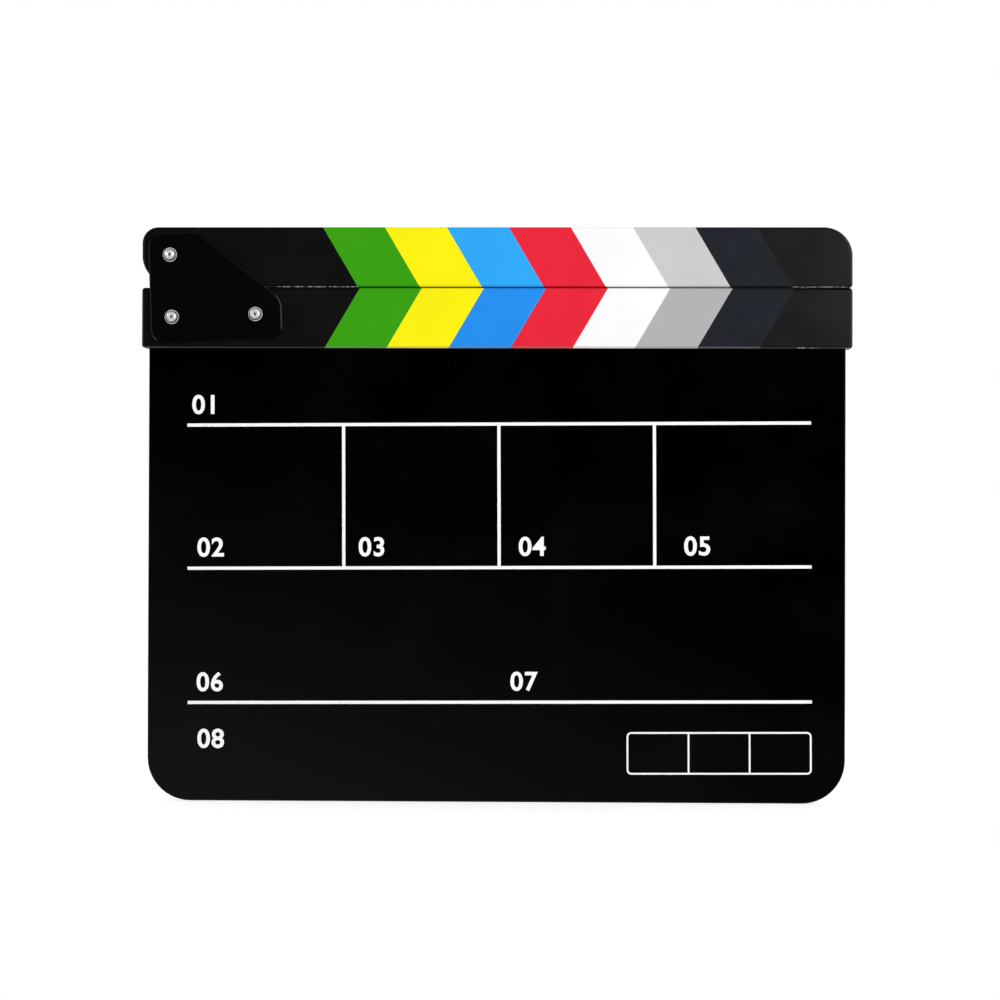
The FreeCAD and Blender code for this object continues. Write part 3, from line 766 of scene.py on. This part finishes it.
def make_screws(node, places, turns, material):
    """Pan-head screws that stand for a node: one at each (x, z) place, its recess turned by degrees."""
    head_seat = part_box("head_washers")[0].y
    low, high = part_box("pivot_screw")
    head = screw_head_mesh((high.x - low.x) / 2, head_seat - low.y)
    shank = shank_rings(head_seat, high.y)

    def build(shape):
        for (x, z), turn in zip(places, turns):
            placed = head.copy()
            placed.transform(Matrix.Rotation(math.radians(turn), 4, "Y"))
            placed.transform(Matrix.Translation((x, head_seat, z)))
            shape.from_mesh(placed)
            bpy.data.meshes.remove(placed)
            add_rings(shape, [[(x + across, y, z + up) for across, y, up in ring] for ring in shank])

    piece = add_piece(f"{node}_threaded", build, material, "slate")
    bpy.data.meshes.remove(head)
    piece.data.shade_smooth()
    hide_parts(node)


def make_all_screws(material):
    """The pivot screw and the two fixing screws, where the frame has them."""
    low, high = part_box("pivot_screw")
    radius = (high.x - low.x) / 2
    pivot = ((low.x + high.x) / 2, (low.z + high.z) / 2)
    low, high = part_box("fixing_screws")
    heel = (low.x + radius, low.z + radius)
    toe = (high.x - radius, high.z - radius)
    make_screws("pivot_screw", [pivot], [PIVOT_RECESS_TURN], material)
    make_screws("fixing_screws", [heel, toe], [HEEL_RECESS_TURN, TOE_RECESS_TURN], material)


# Floor, in metres: the last three say where it runs out round the object, in front of it and in mirrors
FLOOR_HALF_SIDE = 3.0
FLOOR_LEVELS = (0.78, 0.82)
FLOOR_FIBRE_MM = 2.0
FLOOR_ROUGHNESS = 0.9
FLOOR_SPECULAR = 0.1
FLOOR_LIFT = 0.5
FLOOR_SHIFT = (0.0, -0.3, 0.0)
FLOOR_SQUEEZE = (0.8, 1.0, 1.0)
FLOOR_FAR_OFF = (0.32, 0.6)
FLOOR_IN_FRONT = (-0.1, -0.012)
FLOOR_OUT_OF_MIRRORS = (-0.004, -0.002)


def make_floor():
    """Pale sweep that keeps the shadow near the object and runs out into the white round it."""
    def sheet(shape):
        bmesh.ops.create_grid(shape, x_segments=1, y_segments=1, size=FLOOR_HALF_SIDE)

    floor = bpy.data.objects.new("floor", mesh_from("floor", sheet))
    bpy.context.scene.collection.objects.link(floor)
    finish = Finish("floor_paper", roughness=FLOOR_ROUGHNESS, specular_ior_level=FLOOR_SPECULAR)
    dark, pale = FLOOR_LEVELS
    fibre = finish.noise(FLOOR_FIBRE_MM, FINE)
    finish.set(finish.surface, base_color=finish.mix(fibre, grey(dark), grey(pale)))
    rays = finish.add("ShaderNodeLightPath").outputs
    seen = finish.math("MAXIMUM", rays["Is Camera Ray"], rays["Is Glossy Ray"])
    seen = finish.math("MAXIMUM", seen, rays["Is Transmission Ray"])
    glow = finish.math("MULTIPLY", seen, FLOOR_LIFT)
    finish.set(finish.surface, emission_color=grey(1.0), emission_strength=glow)
    shifted = finish.add("ShaderNodeMapping", vector=finish.place, location=FLOOR_SHIFT, scale=FLOOR_SQUEEZE)
    reach = finish.add("ShaderNodeVectorMath", {"operation": "LENGTH"}, vector=shifted.outputs["Vector"])
    far_off = finish.span(reach.outputs["Value"], FLOOR_FAR_OFF)
    depth = finish.axes()["Y"]
    in_front = finish.span(depth, FLOOR_IN_FRONT, FALLING)
    hidden = finish.span(depth, FLOOR_OUT_OF_MIRRORS, FALLING)
    out_of_mirrors = finish.math("MULTIPLY", rays["Is Glossy Ray"], hidden)
    away = finish.math("MAXIMUM", far_off, finish.math("MAXIMUM", in_front, out_of_mirrors))
    clear = finish.add("ShaderNodeBsdfTransparent")
    blend = finish.add("ShaderNodeMixShader", fac=away)
    finish.tree.links.new(finish.surface.outputs["BSDF"], blend.inputs[1])
    finish.tree.links.new(clear.outputs["BSDF"], blend.inputs[2])
    finish.tree.links.new(blend.outputs["Shader"], finish.tree.nodes["Material Output"].inputs["Surface"])
    floor.data.materials.append(finish.material)


# World: levels, and what mirrors show, each a direction, two half angles of its cone in degrees and a level
AMBIENT_LEVEL = 0.488
ROOM_LEVEL = 0.006
WHITE_LEVEL = 1.0
BACKDROP = (Vector((0.0, 1.0, 0.0)), 24, 52, WHITE_LEVEL)
FRONT_GLOW = (Vector((-0.22, -0.85, -0.52)).normalized(), 22, 34, 0.27)
RIGHT_GLOW = (Vector((0.93, 0.0, 0.37)), 15, 42, 1.0)
LEFT_GLOW = (Vector((-1.0, 0.0, 0.0)), 12, 40, 0.3)


def make_world():
    """White as it is seen. Mirrors show a dim room with soft glows, and a white backdrop behind."""
    world = bpy.data.worlds.new("studio")
    bpy.context.scene.world = world
    world.use_nodes = True
    nodes, links = world.node_tree.nodes, world.node_tree.links
    rays = nodes.new("ShaderNodeLightPath").outputs
    direction = nodes.new("ShaderNodeTexCoord").outputs["Generated"]

    def brightening(towards, narrow, wide, most, least=0.0):
        """Level that rises from least to most as a ray comes within a cone about a direction."""
        along = nodes.new("ShaderNodeVectorMath")
        along.operation = "DOT_PRODUCT"
        links.new(direction, along.inputs[0])
        along.inputs[1].default_value = towards
        rise = nodes.new("ShaderNodeMapRange")
        rise.interpolation_type = "SMOOTHSTEP"
        links.new(along.outputs["Value"], rise.inputs["Value"])
        rise.inputs["From Min"].default_value = math.cos(math.radians(wide))
        rise.inputs["From Max"].default_value = math.cos(math.radians(narrow))
        rise.inputs["To Min"].default_value = least
        rise.inputs["To Max"].default_value = most
        return rise.outputs["Result"]

    mirrored = brightening(*BACKDROP, least=ROOM_LEVEL)
    for glow in (FRONT_GLOW, RIGHT_GLOW, LEFT_GLOW):
        total = nodes.new("ShaderNodeMath")
        total.operation = "ADD"
        links.new(mirrored, total.inputs[0])
        links.new(brightening(*glow), total.inputs[1])
        mirrored = total.outputs["Value"]
    level = AMBIENT_LEVEL
    seen = {"Is Glossy Ray": mirrored, "Is Transmission Ray": WHITE_LEVEL, "Is Camera Ray": WHITE_LEVEL}
    for ray, value in seen.items():
        choice = nodes.new("ShaderNodeMix")
        links.new(rays[ray], choice.inputs["Factor"])
        for socket, source in (("A", level), ("B", value)):
            if isinstance(source, bpy.types.NodeSocket):
                links.new(source, choice.inputs[socket])
            else:
                choice.inputs[socket].default_value = source
        level = choice.outputs["Result"]
    links.new(level, nodes["Background"].inputs["Strength"])
    nodes["Background"].inputs["Color"].default_value = grey(1.0)


# Square soft lamps: name, place and side in metres, and watts
SOFTBOXES = (
    ("key_light", (0.85, -1.4, 0.5), 0.6, 15.6),
    ("fill_light", (-1.5, -0.8, 0.9), 0.8, 8.8),
    ("rear_light", (0.4, 1.3, 1.1), 1.0, 8.8),
)


def add_softbox(name, place, side, watts):
    """A soft square lamp that faces the middle of the object."""
    lamp = bpy.data.lights.new(name, "AREA")
    lamp.shape = "SQUARE"
    lamp.size = side
    lamp.energy = watts
    softbox = bpy.data.objects.new(name, lamp)
    softbox.location = place
    middle = (CAD_BOX[0] + CAD_BOX[1]) / 2
    softbox.rotation_euler = (middle - softbox.location).to_track_quat("-Z", "Y").to_euler()
    bpy.context.scene.collection.objects.link(softbox)


def make_lights():
    """All lamps of the studio."""
    for softbox in SOFTBOXES:
        add_softbox(*softbox)


# Camera, in metres and degrees, with the lens and sensor in millimetres
CAMERA_DISTANCE = 1.5
CAMERA_AZIMUTH = 1.95
CAMERA_ELEVATION = -0.735
CAMERA_ROLL = 0.18
CAMERA_AIM = Vector((0.0017, 0.0, 0.1276))
CAMERA_LENS = 127.6
SENSOR_WIDTH = 36.0


def make_camera():
    """A long lens straight in front of the board, a little low and to the right."""
    data = bpy.data.cameras.new("camera")
    data.sensor_width = SENSOR_WIDTH
    data.lens = CAMERA_LENS
    camera = bpy.data.objects.new("camera", data)
    bpy.context.scene.collection.objects.link(camera)
    azimuth, elevation = math.radians(CAMERA_AZIMUTH), math.radians(CAMERA_ELEVATION)
    level = math.cos(elevation)
    back = Vector((math.sin(azimuth) * level, -math.cos(azimuth) * level, math.sin(elevation)))
    look = (-back).to_track_quat("-Z", "Y").to_matrix().to_4x4()
    roll = Matrix.Rotation(math.radians(CAMERA_ROLL), 4, "Z")
    camera.matrix_world = Matrix.Translation(CAMERA_AIM + back * CAMERA_DISTANCE) @ look @ roll
    bpy.context.scene.camera = camera


finishes = make_finishes()
dress_nodes(finishes)
make_hems()
make_prints()
make_all_screws(finishes["nickel_steel"])
make_floor()
make_world()
make_lights()
make_camera()
bpy.context.scene.view_settings.view_transform = "Standard"
